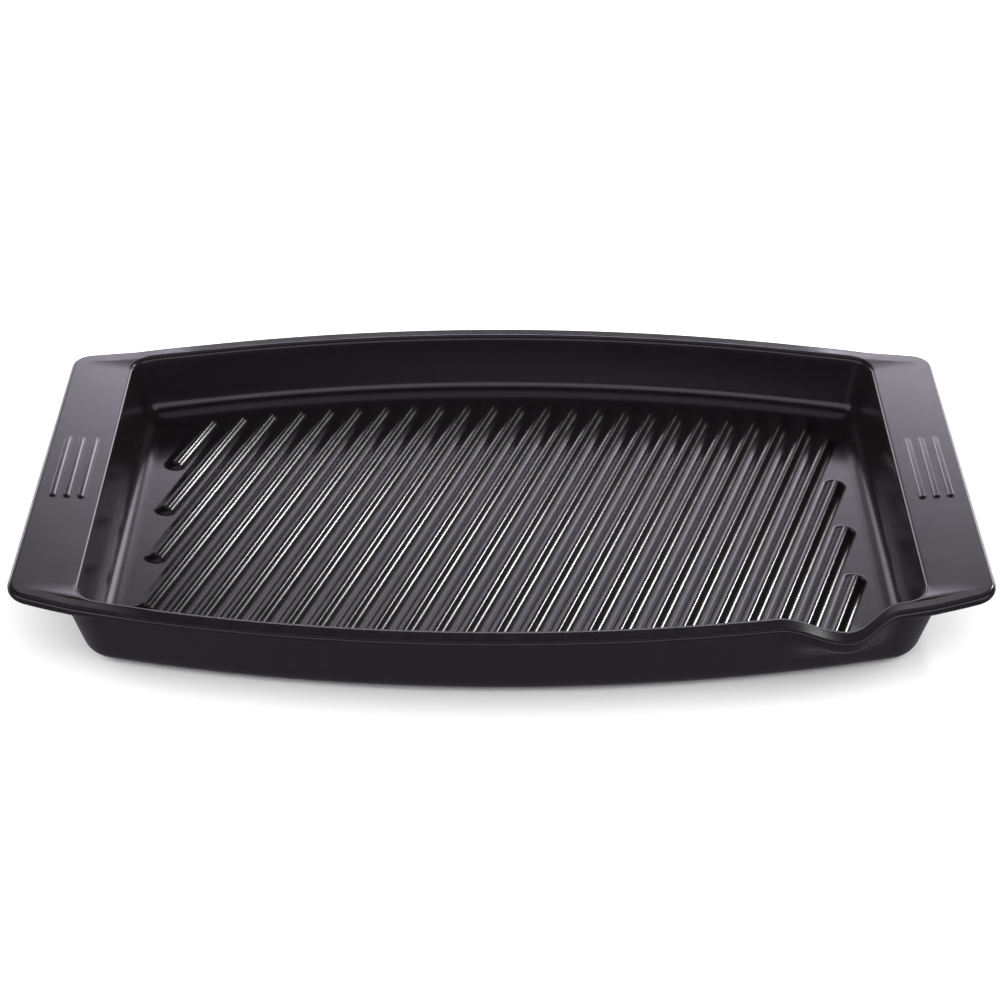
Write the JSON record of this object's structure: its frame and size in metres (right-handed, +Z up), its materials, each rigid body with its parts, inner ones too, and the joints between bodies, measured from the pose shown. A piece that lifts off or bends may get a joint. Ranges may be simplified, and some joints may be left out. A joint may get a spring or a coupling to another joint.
{
  "type": "grill pan",
  "caption": "Shallow black glazed grill pan with bowed long sides, diagonal ribs, flat end handles and a pouring lip.",
  "frame": {"origin": "on the table plane, under the middle of the pan's bounding box", "axes": "+X along the pan, from the left handle to the right one; -Y towards the long side with the pouring lip, which lies towards +X; +Z up"},
  "size_m": [0.47, 0.2794, 0.0416],
  "materials": {
    "black_glaze": "opaque satin black vitreous glaze on stoneware, with a fine orange-peel surface"
  },
  "bodies": {
    "root": {"grill_pan": "black_glaze"}
  },
  "joints": []
}
